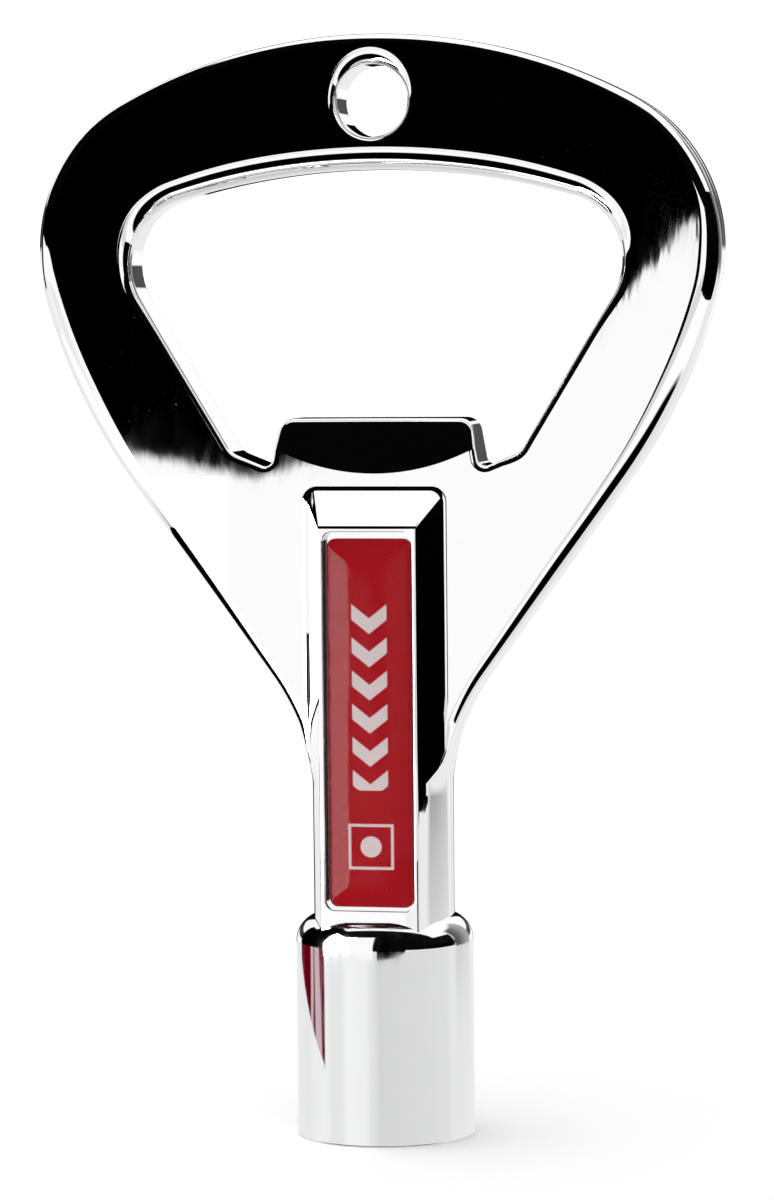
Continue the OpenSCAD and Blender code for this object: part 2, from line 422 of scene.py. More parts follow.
# The key ring hole's flare: its width, what the top and the bottom add to it, and its depth
RING_TURNS = 96
RING_FLARE = 0.55
RING_FLARE_TOP = 0.7
RING_FLARE_LOW = -0.08
RING_FLARE_DEPTH = 0.75


def space(x, y, z):
    """A point or a direction in space."""
    return Vector((x, y, z))


def rim_radius(x, z):
    """The rounding of the head's outer edge, which shrinks where the plate runs out."""
    r = blend_value(z, RIM_KNOTS)
    return min(r, RIM_SHARE * (abs(x) - SHANK_HALF_W)) if z < WAIST_TOP_Z else r


def on_shank(x, z):
    """True where the outline is the shank's straight side."""
    return z < SIDE_TOP_Z and abs(x) < SHANK_HALF_W + 0.01


def rim_section(x, z, nx, nz):
    """One section of the head's edge, from the front face round to the back."""
    out = Vector((nx, 0, nz))
    if on_shank(x, z):
        side = 1 if x > 0 else -1
        reach = blend_value(z, BEVEL_KNOTS)
        front = space(x + side * BEVEL_UP.x * reach, BEVEL_UP.y * reach - PLATE_Y, z)
        depth = min(reach, BEVEL_DEPTH)
    else:
        r = rim_radius(x, z)
        front = space(x - nx * r, -PLATE_Y, z - nz * r)
        depth = min(r, RIM_DEPTH)
    wall = space(x, 0, z) - out * SEAM_RISE
    made = bend(front, wall - space(0, PLATE_Y, 0), wall - space(0, PLATE_Y - depth, 0), ROUND_STEPS)
    for y, rise in SEAM_PROFILE:
        slope = -2 * y if rise else 0.0
        made.append((wall + out * rise * SEAM_RISE + space(0, y, 0), space(0, 1, 0) + out * slope))
    back = space(front.x, -front.y, front.z)
    made += bend(wall + space(0, PLATE_Y - depth, 0), wall + space(0, PLATE_Y, 0), back, ROUND_STEPS)
    return made


def in_dish(x, z):
    """True where the hollow cuts the front face."""
    return abs(x) < DISH_HALF_W and z < DISH_TOP_Z and x * x + (z - DISH_Z) ** 2 < DISH_RIM_R**2


def dish_depth(x, z):
    """How far the hollow in front of the lip lies behind the front face."""
    reach = sqrt(DISH_R**2 - DISH_RIM_R**2)
    return max(0.0, sqrt(DISH_R**2 - x * x - (z - DISH_Z) ** 2) - reach)


def opening_radius(x, z):
    """The rounding of the opening's edge: wide along its top and slim down its sides."""
    if z < LIP_ZONE_Z and abs(x) < LIP_ZONE_HALF_W:
        return LIP_EDGE_R
    return blend_value(z, OPENING_KNOTS)


def opening_section(x, z, nx, nz):
    """One section of the opening's wall. The hollow lowers its start along the lip."""
    r = opening_radius(x, z)
    front = space(x + nx * r, -PLATE_Y, z + nz * r)
    fall = 0.0
    if in_dish(front.x, front.z):
        front.y += dish_depth(front.x, front.z)
        root = sqrt(DISH_R**2 - front.x**2 - (front.z - DISH_Z) ** 2)
        fall = r * (front.x * nx + (front.z - DISH_Z) * nz) / root
    corner = space(x, front.y + fall, z)
    made = bend(front, corner, corner + space(0, r, 0), ROUND_STEPS)
    back = space(front.x, PLATE_Y, front.z)
    made += bend(space(x, PLATE_Y - r, z), space(x, PLATE_Y, z), back, ROUND_STEPS)
    return made


def edge_in_dish(point):
    """True where the lip's rounded edge, beside an outline point, starts in the hollow."""
    x, z, nx, nz = point
    return in_dish(x + nx * LIP_EDGE_R, z + nz * LIP_EDGE_R)


def with_dish_end(half):
    """The opening's half outline with a point where the lip's edge leaves the hollow."""
    halvings = 40
    for i, (near, far) in enumerate(zip(half, half[1:])):
        if edge_in_dish(near) and not edge_in_dish(far):
            low, high = 0.0, 1.0
            for _ in range(halvings):
                t = (low + high) / 2
                point = tuple(u + (v - u) * t for u, v in zip(near, far))
                if edge_in_dish(point):
                    low = t
                else:
                    high = t
            return half[: i + 1] + [point] + half[i + 1 :], i + 1
    raise ValueError("the lip never leaves the hollow")


def ring_section(angle):
    """One section of the key ring hole, from its front mouth to its back mouth."""
    c, s = cos(angle), sin(angle)
    r = RING_FLARE + (RING_FLARE_TOP if s > 0 else RING_FLARE_LOW) * s * s
    wall_y = PLATE_Y - RING_FLARE_DEPTH
    x, z = RING_R * c, RING_Z + RING_R * s
    far_x, far_z = (RING_R + r) * c, RING_Z + (RING_R + r) * s
    front = (space(far_x, -PLATE_Y, far_z), space(x, -PLATE_Y, z), space(x, -wall_y, z))
    back = (space(x, wall_y, z), space(x, PLATE_Y, z), space(far_x, PLATE_Y, far_z))
    return bend(*front, ROUND_STEPS) + bend(*back, ROUND_STEPS)


# Corners of the raised shank's upper end, where it meets the plate and at its face
BASE_CORNER_R = 0.8
FACE_CORNER_R = 0.12
# Roundings of the bevel: at the plate, what the upper end takes off that, and at the raised face
BOSS_FOOT = 0.3
BOSS_FOOT_LESS = 0.09
BOSS_EDGE = 0.13
# The foot's largest share of a narrow plate, and its size where the bevel starts on the shank's side
BOSS_FOOT_SHARE = 0.45
BOSS_SIDE_FOOT = 0.06
BOSS_STEPS = 6


def boss_path(heights):
    """(base x, base z, face x, face z, outward x, outward z) round the raised shank."""
    base_x, base_z = SHANK_HALF_W - BASE_CORNER_R, BOSS_BASE_Z - BASE_CORNER_R
    face_x, face_z = FACE_HALF_W - FACE_CORNER_R, BOSS_FACE_Z - FACE_CORNER_R
    top = heights[-1]
    half = []
    side_steps, corner_steps, end_steps = 20, 12, 6
    for z in heights + [top + (base_z - top) * i / side_steps for i in range(1, side_steps + 1)]:
        share = max(0.0, (z - WAIST_TOP_Z) / (base_z - WAIST_TOP_Z))
        half.append((SHANK_HALF_W, z, FACE_HALF_W, z + (face_z - base_z) * share, 1, 0))
    for i in range(1, corner_steps + 1):
        turn = radians(90 / corner_steps * i)
        c, s = cos(turn), sin(turn)
        base = (base_x + BASE_CORNER_R * c, base_z + BASE_CORNER_R * s)
        face = (face_x + FACE_CORNER_R * c, face_z + FACE_CORNER_R * s)
        half.append((*base, *face, c, s))
    for i in range(end_steps - 1, -1, -1):
        half.append((base_x * i / end_steps, BOSS_BASE_Z, face_x * i / end_steps, BOSS_FACE_Z, 0, 1))
    return half + [(-a, b, -c, d, -e, f) for a, b, c, d, e, f in reversed(half[:-1])]


def boss_section(station, side, rim_front):
    """One section of the bevel, from the plate up to the raised face. side is -1 in front."""
    base_x, base_z, face_x, face_z, out_x, out_z = station
    base = space(base_x, side * PLATE_Y, base_z)
    face = space(face_x, side * FACE_Y, face_z)
    up = (face - base).normalized()
    across = space(face.x - base.x, 0, face.z - base.z).normalized()
    below = [p for p in rim_front if p.z < SIDE_TOP_Z]
    shared = [p for p in below if abs(p.z - base_z) < TOUCH and p.x * base_x > 0]
    if shared and shared[0].y < -PLATE_Y - TOUCH:
        low = space(shared[0].x, -side * shared[0].y, shared[0].z)
        made = bend(low, low, low + up * BOSS_SIDE_FOOT, BOSS_STEPS)
    else:
        reach = BOSS_FOOT - BOSS_FOOT_LESS * out_z
        if base_z < WAIST_TOP_Z:
            right = [p for p in rim_front if p.x > SHANK_HALF_W and p.z < WAIST_END_Z]
            edge = min(right, key=lambda p: abs(p.z - base_z)).x
            reach = min(BOSS_FOOT, BOSS_FOOT_SHARE * (edge - SHANK_HALF_W))
        made = bend(base + space(out_x, 0, out_z) * reach, base, base + up * reach, BOSS_STEPS)
    made += bend(face - up * BOSS_EDGE, face, face + across * BOSS_EDGE, BOSS_STEPS)
    return made


# The label recess: its corners and the rounding of its mouth
RECESS_CORNER_R = 0.7
RECESS_EDGE = 0.1
RECESS_STEPS = 5
# The tang's clearance in the bore, and the chamfer at its end
TANG_GAP = 0.02
TANG_CHAMFER = 0.5


def rounded_rectangle(half_w, low, high, r, step=15):
    """An anticlockwise rounded rectangle as an outline."""
    made = []
    for x, z, start in (
        (half_w - r, low + r, -90),
        (half_w - r, high - r, 0),
        (r - half_w, high - r, 90),
        (r - half_w, low + r, 180),
    ):
        made += arc(x, z, r, start, start + 90, step)
    return made


def recess_section(x, z, nx, nz):
    """One section of the label recess, from the raised face down to its floor."""
    first = space(x + nx * RECESS_EDGE, -FACE_Y, z + nz * RECESS_EDGE)
    made = bend(first, space(x, -FACE_Y, z), space(x, RECESS_EDGE - FACE_Y, z), RECESS_STEPS)
    made.append((space(x, RECESS_FLOOR_Y, z), space(0, 1, 0)))
    return made


def row(sections, j):
    """The points that the sections have at place j, along the strip."""
    return [section[j][0] for section in sections]


def points_of(section):
    """The points of one section, across the strip."""
    return [point for point, _ in section]


def distinct(loop):
    """A closed loop without the points that repeat."""
    made = []
    for point in loop:
        if not made or (point - made[-1]).length > LOOP_GAP:
            made.append(point)
    if (made[0] - made[-1]).length < LOOP_GAP:
        made.pop()
    return made


def add_dish(skin, lip):
    """The hollow in front of the lip, up to the lip's edge; gives its arc on the front face."""
    foot = [space(p.x, -PLATE_Y, DISH_Z - sqrt(DISH_RIM_R**2 - p.x * p.x)) for p in lip]
    foot[0], foot[-1] = lip[0], lip[-1]
    centre = space(0, -PLATE_Y - sqrt(DISH_R**2 - DISH_RIM_R**2), DISH_Z)
    rows = []
    for j in range(DISH_STEPS + 1):
        made = []
        for low, high in zip(foot, lip):
            point = low.lerp(high, j / DISH_STEPS)
            if 0 < j < DISH_STEPS:
                point.y = -PLATE_Y + dish_depth(point.x, point.z)
            made.append((point, (centre - point).normalized()))
        rows.append(made)
    skin.sheet(rows, flip=True)
    return foot


def add_tang(skin, foot_loop):
    """The shank's foot, and the square tang that goes into the barrel."""
    half = SOCKET_HALF - TANG_GAP
    levels = (
        (SHANK_FOOT_Z, half),
        (SOCKET_DEPTH + TANG_CHAMFER, half),
        (SOCKET_DEPTH, half - TANG_CHAMFER),
    )
    corners = ((1, 1), (-1, 1), (-1, -1), (1, -1))
    squares = [[space(sx * w, sy * w, z) for sx, sy in corners] for z, w in levels]
    skin.flat([foot_loop, squares[0]], (0, 0, -1))
    for upper, lower in zip(squares, squares[1:]):
        for i in range(4):
            k = (i + 1) % 4
            quad = [upper[i], upper[k], lower[k], lower[i]]
            normal = (quad[1] - quad[0]).cross(quad[3] - quad[0]).normalized()
            if normal.dot(quad[0] + quad[1] - space(0, 0, 2 * quad[0].z)) < 0:
                quad.reverse()
                normal = -normal
            skin.face([(p, normal) for p in quad])
    skin.flat([squares[-1]], (0, 0, -1))


def make_casting(material):
    """The head, the shank and the tang as one closed skin."""
    skin = Skin()
    right, dish_end = with_dish_end(opening_half())
    opening = [opening_section(*p) for p in mirrored(right)]
    skin.strip(opening, flip=True, closed=True)
    ring = [ring_section(2 * pi * i / RING_TURNS) for i in range(RING_TURNS)]
    skin.strip(ring, flip=True, closed=True)
    edge = row(opening, 0)
    foot = add_dish(skin, edge[-dish_end:] + edge[: dish_end + 1])

    # The outline leaves out the few points where the plate beside the shank is too narrow to round
    beside = SHANK_HALF_W + 0.16
    path = mirrored(head_half())
    path = [p for p in path if on_shank(p[0], p[1]) or abs(p[0]) > beside or p[1] > WAIST_END_Z]
    rim = [rim_section(*p) for p in path]
    skin.strip(rim)
    shared = [p[1] for p in path if p[0] > 0 and on_shank(p[0], p[1])]
    first = len(shared)
    rim_front = row(rim, 0)
    stations = boss_path(shared + [rim_front[first].z])
    bosses = {}
    for side, end in ((-1, 0), (1, -1)):
        boss = bosses[side] = [boss_section(station, side, rim_front) for station in stations]
        skin.strip(boss, flip=side < 0)

        # A small triangle on each side closes the plate where the shank's side ends
        rim_edge, boss_edge = row(rim, end), row(boss, 0)
        normal = space(0, side, 0)
        for a, b, c in (
            (rim_edge[first - 1], boss_edge[first], rim_edge[first]),
            (rim_edge[-first], rim_edge[-first - 1], boss_edge[-first - 1]),
        ):
            corners = [(a, normal), (b, normal), (c, normal)]
            facing = (b - a).cross(c - a).dot(normal) > 0
            skin.face(corners if facing else corners[::-1])

        # The plate, and the raised face with the label recess in front
        outer = rim_edge[first : len(rim_edge) - first]
        outer += boss_edge[first : len(boss_edge) - first][::-1]
        hole = row(opening, end)
        if side < 0:
            hole = hole[dish_end : len(hole) - dish_end + 1] + foot[1:-1]
        skin.flat([outer, hole, row(ring, end)], normal)
        loops = [row(boss, -1)]
        if side < 0:
            outline = rounded_rectangle(RECESS_HALF_W, RECESS_LOW_Z, RECESS_HIGH_Z, RECESS_CORNER_R)
            recess = [recess_section(*p) for p in outline]
            skin.strip(recess, flip=True, closed=True)
            skin.flat([row(recess, -1)], normal)
            loops.append(row(recess, 0))
        skin.flat(loops, normal)

    front, back = bosses[-1], bosses[1]
    foot_loop = points_of(front[0])[::-1] + points_of(rim[0]) + points_of(back[0])
    foot_loop += points_of(back[-1])[::-1] + points_of(rim[-1])[::-1] + points_of(front[-1])
    add_tang(skin, distinct(foot_loop))
    return skin.make("key_casting", material)


# ------------ the barrel

BARREL_TURNS = 144
# Radius inside which the flat top of the barrel runs to the square bore
SEAT_R = 4.3
# Rounding of the open end's outer edge, and of the lead-in cone's mouth: its depth and its width
END_R = 0.15
MOUTH_DEPTH = 0.15
MOUTH_W = 0.25


def turned(point, angle):
    """A point or a direction, turned about the barrel's axis."""
    return Matrix.Rotation(angle, 3, "Z") @ point


def make_barrel(material):
    """A turned sleeve with a rounded shoulder and a square bore with a lead-in cone."""
    skin = Skin()
    wall, cone_r = BARREL_R, LEAD_IN_R - MOUTH_DEPTH
    mouth_end = space(LEAD_IN_R + MOUTH_W, 0, 0)
    mouth = bend(space(cone_r, 0, MOUTH_DEPTH), space(LEAD_IN_R, 0, 0), mouth_end, 4)
    foot = bend(space(wall - END_R, 0, 0), space(wall, 0, 0), space(wall, 0, END_R), 6)
    shoulder_top = space(wall - SHOULDER_R, 0, BARREL_H)
    shoulder = bend(space(wall, 0, BARREL_H - SHOULDER_R), space(wall, 0, BARREL_H), shoulder_top, 14)
    seat_start = (space(SEAT_R, 0, BARREL_H), space(-1, 0, 0))
    profile = mouth[:-1] + [(mouth_end, space(1, 0, 0))] + foot + shoulder + [seat_start]
    angles = [2 * pi * i / BARREL_TURNS for i in range(BARREL_TURNS)]
    sections = [[(turned(p, a), turned(t, a)) for p, t in profile] for a in angles]
    skin.strip(sections, flip=True, closed=True)

    # The cone meets the flats of the square in four arches
    cone, arch = [], []
    for a in angles:
        rho = SOCKET_HALF / max(abs(cos(a)), abs(sin(a)))
        normal = space(-cos(a), -sin(a), -1).normalized()
        cone.append((space(cone_r * cos(a), cone_r * sin(a), MOUTH_DEPTH), normal))
        arch.append((space(rho * cos(a), rho * sin(a), LEAD_IN_R - rho), normal))
    skin.sheet([cone, arch], flip=False, closed=True)
    for i in range(BARREL_TURNS):
        k = (i + 1) % BARREL_TURNS
        a = (angles[i] + pi / BARREL_TURNS) % (2 * pi)
        side = round(a / (pi / 2)) % 4
        normal = -space(cos(side * pi / 2), sin(side * pi / 2), 0)
        low = [arch[i][0], arch[k][0]]
        high = [space(p.x, p.y, BARREL_H) for p in low]
        skin.face([(low[0], normal), (high[0], normal), (high[1], normal), (low[1], normal)])
    up = space(0, 0, 1)
    seat = [(turned(space(SEAT_R, 0, BARREL_H), a), up) for a in angles]
    top = [(space(point.x, point.y, BARREL_H), up) for point, _ in arch]
    skin.sheet([seat, top], flip=True, closed=True)
    return skin.make("socket_sleeve", material)


# ------------ the label's dome

# Clearance between the dome and the film
DOME_GAP = 0.015
# Height of the dome's upright edge, the rounding above it and the corners seen from the front
DOME_EDGE_H = 0.15
DOME_EDGE_R = 0.1
DOME_CORNER_R = 0.6
DOME_EDGE_STEPS = 4
# Rings from the edge inwards, and the share of the half width that they cover
DOME_RINGS = 16
DOME_REACH = 0.965


def make_dome(material):
    """A clear domed cap that falls away to all four edges of the label."""
    skin = Skin()
    half_w, low, high = dome_high.x, dome_low.z, dome_high.z
    back = dome_high.y - DOME_GAP
    edge_y, swell = back - DOME_EDGE_H, back - dome_low.y - DOME_EDGE_H
    outline = rounded_rectangle(half_w, low, high, DOME_CORNER_R, 10)
    rows = [[(space(x, back, z), space(nx, 0, nz)) for x, z, nx, nz in outline]]
    for i in range(DOME_EDGE_STEPS + 1):
        a = radians(90 * i / DOME_EDGE_STEPS)
        c, s = cos(a), sin(a)
        shift, y = DOME_EDGE_R * (1 - c), edge_y + DOME_EDGE_R * (1 - s)
        rows.append(
            [
                (space(x - nx * shift, y, z - nz * shift), space(nx * c, -s, nz * c))
                for x, z, nx, nz in outline
            ]
        )
    for k in range(1, DOME_RINGS + 1):
        share = DOME_REACH * k / DOME_RINGS
        inset = DOME_EDGE_R + (half_w - DOME_EDGE_R) * share
        slope = 2 * swell * (1 - share) / half_w
        y = edge_y - swell * (1 - (1 - share) ** 2)
        corner_r = DOME_CORNER_R * (1 - share)
        ring = rounded_rectangle(half_w - inset, low + inset, high - inset, corner_r, 10)
        rows.append(
            [(space(x, y, z), space(nx * slope, -1, nz * slope).normalized()) for x, z, nx, nz in ring]
        )
    skin.sheet(rows, flip=True, closed=True)
    skin.flat([[p for p, _ in rows[0]]], (0, 1, 0))
    skin.flat([distinct([p for p, _ in rows[-1]])], (0, -1, 0))
    return skin.make("label_dome_clear", material)


# ------------ materials

BLACK = (0, 0, 0, 1)
WHITE = (1, 1, 1, 1)


class Graph:
    """A small helper that adds nodes to a tree and links them."""

    def __init__(self, tree):
        self.tree = tree

    def add(self, kind, **settings):
        """A new node of a kind, with its settings."""
        node = self.tree.nodes.new(kind)
        for name, value in settings.items():
            setattr(node, name, value)
        return node

    def put(self, socket, value):
        """Gives a socket a value, or links another node's output to it."""
        if isinstance(value, bpy.types.NodeSocket):
            self.tree.links.new(value, socket)
        else:
            socket.default_value = value

    def give(self, node, values):
        """Gives a node's named sockets their values or links."""
        for name, value in values.items():
            self.put(node.inputs[name], value)

    def math(self, operation, *values, clamp=False):
        """The result of one operation on one or two values."""
        node = self.add("ShaderNodeMath", operation=operation, use_clamp=clamp)
        for socket, value in zip(node.inputs, values):
            self.put(socket, value)
        return node.outputs[0]

    def times(self, first, second):
        """The product of two values."""
        return self.math("MULTIPLY", first, second)

    def step(self, value, low, high, out_low=0.0, out_high=1.0):
        """A smooth step from out_low to out_high as value goes from low to high."""
        node = self.add("ShaderNodeMapRange", interpolation_type="SMOOTHSTEP")
        names = ("Value", "From Min", "From Max", "To Min", "To Max")
        self.give(node, dict(zip(names, (value, low, high, out_low, out_high))))
        return node.outputs["Result"]

    def span(self, value, low, high, soft):
        """1 between low and high, with soft edges."""
        rise = self.step(value, low - soft, low + soft)
        fall = self.step(value, high - soft, high + soft, 1.0, 0.0)
        return self.times(rise, fall)

    def mix(self, share, first, second):
        """A colour from first, at share 0, to second, at share 1."""
        node = self.add("ShaderNodeMix", data_type="RGBA")
        # Inputs 6 and 7 are the two colours
        self.put(node.inputs[0], share)
        self.put(node.inputs[6], first)
        self.put(node.inputs[7], second)
        return node.outputs[2]

    def noise(self, vector, scale, detail=2.0, roughness=0.5):
        """Soft random values between 0 and 1."""
        node = self.add("ShaderNodeTexNoise")
        self.give(node, {"Vector": vector, "Scale": scale, "Detail": detail, "Roughness": roughness})
        return node.outputs["Fac"]

    def stretched(self, vector, x, y, z):
        """A place with each of its three coordinates multiplied."""
        node = self.add("ShaderNodeVectorMath", operation="MULTIPLY")
        self.put(node.inputs[0], vector)
        self.put(node.inputs[1], (x, y, z))
        return node.outputs[0]

    def bump(self, height, distance):
        """A normal that follows a relief, where a height of 1 stands for distance metres."""
        node = self.add("ShaderNodeBump")
        self.give(node, {"Height": height, "Distance": distance, "Strength": 1.0})
        return node.outputs[0]

    def split(self, vector):
        """The x, y and z of a vector."""
        node = self.add("ShaderNodeSeparateXYZ")
        self.put(node.inputs[0], vector)
        return node.outputs


def new_material(name):
    """(material, graph, its Principled shader, object coordinates in millimetres)."""
    material = bpy.data.materials.new(name)
    material.use_nodes = True
    graph = Graph(material.node_tree)
    shader = material.node_tree.nodes["Principled BSDF"]
    place = graph.add("ShaderNodeTexCoord").outputs["Object"]
    scale = 1 / MM
    return material, graph, shader, graph.stretched(place, scale, scale, scale)


# Depth of the rare pits in the plating, in the unit of the ripples' height
PIT_DEPTH = 0.0005


def recess_wall_shade(graph, place):
    """1 on the two long walls of the label's recess, which are rougher and painted dark as the shade in
    the gap beside the label.
    """
    x, y, z = graph.split(place)
    wall = graph.span(graph.math("ABSOLUTE", x), RECESS_HALF_W - 0.05, RECESS_HALF_W + 0.05, 0.01)
    deep = graph.span(y, 0.13 - FACE_Y, RECESS_FLOOR_Y + 0.1, 0.02)
    run = graph.span(z, RECESS_LOW_Z + 0.6, RECESS_HIGH_Z - 0.6, 0.1)
    return graph.times(graph.times(wall, deep), run)


def chrome(name, tint, roughness, streak, wave, rough_shaded_part=None):
    """Bright plating over a surface that is never quite flat.

    streak says how fast the ripples change along x, y and z, wave is their height, and the last
    argument is a function that gives the share of rougher metal painted dark as shade.
    """
    material, graph, shader, place = new_material(name)
    dull = [c * 0.965 for c in tint[:3]] + [1]
    haze = graph.noise(place, 0.35, 4.0)
    colour = graph.mix(haze, tint, dull)
    smear = graph.noise(graph.stretched(place, 1.2, 1.2, 0.35), 1.0, 3.0)
    shine = graph.step(smear, 0.35, 0.8, roughness, roughness * 2.2)
    # Painted shade: where the share is 1 the colour becomes near-black, mottled metal that stands in
    # for the shade in the recess, and the roughness rises
    if rough_shaded_part:
        share = rough_shaded_part(graph, place)
        shade_mottle = graph.step(graph.noise(place, 5.0, 3.0), 0.4, 0.65)
        painted_shade_metal = graph.mix(shade_mottle, (0.01, 0.01, 0.012, 1), (0.16, 0.15, 0.15, 1))
        colour = graph.mix(share, colour, painted_shade_metal)
        shine = graph.math("MAXIMUM", shine, graph.times(share, 0.55))
    ripple = graph.noise(graph.stretched(place, *streak), 1.0, 2.5, 0.5)
    pit = graph.step(graph.noise(place, 4.5, 1.0), 0.79, 0.83)
    waves = graph.times(ripple, wave)
    relief = graph.bump(graph.math("ADD", waves, graph.times(pit, -PIT_DEPTH)), 0.001)
    look = {"Base Color": colour, "Metallic": 1.0, "Roughness": shine, "Normal": relief}
    graph.give(shader, look)
    return material


# The print: the pitch of its dots, then the chevrons' pitch, their slope, the shares of the pitch
# between which they are pale, their half width and their distance from the film's low and high end
DOT_PITCH = 0.17
CHEVRON_PITCH = 2.35
CHEVRON_SLOPE = 0.8
CHEVRON_FROM, CHEVRON_TO = 0.25, 0.72
CHEVRON_HALF_W = 1.25
CHEVRON_LOW, CHEVRON_HIGH = 8.3, 4.6
# The mark: its centre above the film's low end, its square outline and its disc
MARK_HEIGHT = 4.3
MARK_INNER, MARK_OUTER = 1.42, 1.62
MARK_DISC_R = 0.75
PRINT_BLUR = 0.03


def print_material():
    """A red print of fine dots, with plain pale chevrons and a plain ringed square."""
    material, graph, shader, place = new_material("label_print")
    x, _, z = graph.split(place)
    across = graph.math("ABSOLUTE", x)
    low, high = film_low.z, film_high.z

    # Fine printed dots, set at 45 degrees
    diagonal = DOT_PITCH * 1.414
    u = graph.math("DIVIDE", graph.math("ADD", x, z), diagonal)
    v = graph.math("DIVIDE", graph.math("SUBTRACT", x, z), diagonal)
    waves = [graph.math("COSINE", graph.times(w, 2 * pi)) for w in (u, v)]
    dots = graph.step(graph.math("ADD", *waves), -0.6, 1.0)
    grain = graph.noise(place, 3.0, 3.0)
    red = graph.mix(dots, (0.31, 0.001, 0.0045, 1), (0.42, 0.003, 0.011, 1))
    red = graph.mix(graph.step(grain, 0.3, 0.75, 0.0, 0.35), red, (0.24, 0.001, 0.004, 1))

    # Chevrons that point to the socket
    rise = graph.math("SUBTRACT", z, graph.times(across, CHEVRON_SLOPE))
    phase = graph.math("FRACT", graph.math("DIVIDE", graph.math("SUBTRACT", rise, low), CHEVRON_PITCH))
    bars = graph.span(phase, CHEVRON_FROM, CHEVRON_TO, PRINT_BLUR / 2)
    bars = graph.times(bars, graph.span(across, -1.0, CHEVRON_HALF_W, PRINT_BLUR))
    run = graph.span(z, low + CHEVRON_LOW, high - CHEVRON_HIGH, PRINT_BLUR)
    bars = graph.times(bars, run)

    # A square outline with a plain disc in it
    from_centre = graph.math("ABSOLUTE", graph.math("SUBTRACT", z, low + MARK_HEIGHT))
    reach = graph.math("MAXIMUM", across, from_centre)
    frame_line = graph.span(reach, MARK_INNER, MARK_OUTER, PRINT_BLUR)
    squares = [graph.math("POWER", side, 2.0) for side in (across, from_centre)]
    radius = graph.math("SQRT", graph.math("ADD", *squares))
    disc = graph.step(radius, MARK_DISC_R - PRINT_BLUR, MARK_DISC_R + PRINT_BLUR, 1.0, 0.0)
    pale = graph.math("MAXIMUM", graph.math("MAXIMUM", bars, frame_line), disc, clamp=True)
    colour = graph.mix(pale, red, (0.62, 0.53, 0.53, 1))
    graph.give(shader, {"Base Color": colour, "Roughness": 0.45, "Specular IOR Level": 0.0})
    graph.give(shader, {"Normal": graph.bump(dots, 0.000002)})
    return material


def adhesive_material():
    """Grey adhesive with a fine grain."""
    material, graph, shader, place = new_material("label_tape")
    cells = graph.noise(place, 6.0, 3.0)
    colour = graph.mix(graph.step(cells, 0.35, 0.7), (0.16, 0.15, 0.15, 1), (0.5, 0.49, 0.48, 1))
    relief = graph.bump(cells, 0.00003)
    graph.give(shader, {"Base Color": colour, "Roughness": 0.7, "Normal": relief})
    return material


def dome_material():
    """Clear cast resin with a faint uneven tint and a faint ripple."""
    material, graph, shader, place = new_material("label_resin")
    colour = graph.mix(graph.noise(place, 1.1, 2.0), WHITE, (0.985, 0.975, 0.975, 1))
    ripple = graph.noise(graph.stretched(place, 0.5, 0.5, 0.12), 1.0, 2.0)
    graph.give(shader, {"Base Color": colour, "Normal": graph.bump(ripple, 0.00001)})
    graph.give(shader, {"Transmission Weight": 1.0, "IOR": 1.18, "Roughness": 0.0})
    return material


# The casting's plating carries painted shade on the long walls of the label recess
plated = chrome(
    "chrome_casting", (0.93, 0.93, 0.935, 1), 0.012, (0.8, 0.8, 0.16), 0.0012, recess_wall_shade
)
turned_chrome = chrome("chrome_barrel", (0.9, 0.905, 0.905, 1), 0.05, (0.5, 0.5, 0.12), 0.0008)

casting = make_casting(plated)
sleeve = make_barrel(turned_chrome)
dome = make_dome(dome_material())
for piece, node, slot in (
    (casting, "key_body", "chrome_casting"),
    (sleeve, "socket_barrel", "chrome_barrel"),
    (dome, "label_dome", "label_dome"),
):
    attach(piece, "root")
    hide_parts(node)
for node, material in (("label_film", print_material()), ("label_adhesive", adhesive_material())):
    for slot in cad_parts[node].material_slots:
        slot.material = material

# ------------ camera


def make_camera():
    """The camera at the photograph's viewing angle.

    It stands at a distance from the key's upright axis. around and yaw turn about z, pitch looks
    down and roll turns about the line of sight.
    """
    around, distance, height = radians(12.434), 0.320, 0.05988
    yaw, pitch, roll = radians(12.366), radians(3.859), radians(-0.555)
    forward = Vector((-sin(yaw) * cos(pitch), cos(yaw) * cos(pitch), -sin(pitch)))
    level = Vector((cos(yaw), sin(yaw), 0))
    upright = level.cross(forward)
    right = level * cos(roll) + upright * sin(roll)
    up = upright * cos(roll) - level * sin(roll)
    data = bpy.data.cameras.new("camera")
    data.sensor_width = 36.0
    data.lens = 134.88
    camera = add_object("camera", data)
    turn = Matrix((right, up, -forward)).transposed().to_4x4()
    place = Matrix.Translation((distance * sin(around), -distance * cos(around), height))
    camera.matrix_world = place @ turn
    bpy.context.scene.camera = camera


make_camera()

# ------------ studio

# What the chrome sees of the room is described by direction, in degrees. Azimuth 0 is straight in
# front of the key and 90 is on its right, and elevation 0 is the horizon.

# (azimuth, lower edge, upper edge) of the dark surroundings
DARK_EDGES = (
    (-180, -8, 40), (-151, -8, 40), (-150, 60, 60), (-116, 60, 60),
    (-115, -8, 60), (-98, -8, 60), (-97, 3, 60), (-76, 0.3, 60),
    (-36, -1.2, 60), (-16, -1.85, 50), (-14, -2.3, 50), (-12, -1.7, 50),
    (-9.6, -0.45, 50), (-8.35, 1.06, 50), (-8.1, -6, 50), (7, -6, 54),
    (8, 13, 54), (38, 13, 54), (50, 13, 54), (60, 14, 32),
    (80, 18, 18), (112, 18, 18), (115, 9, 9), (180, 9, 9),
)
# (azimuth, brightness) just below the horizon
GROUND = (
    (-180, 0.92), (-127, 0.9), (-74, 0.98), (-60, 0.88), (-50, 0.88),
    (-38, 1.0), (-15, 0.98), (-6, 0.87), (0, 0.82), (5, 0.74),
    (14, 0.76), (60, 0.79), (94, 0.82), (130, 0.88), (180, 0.92),
)


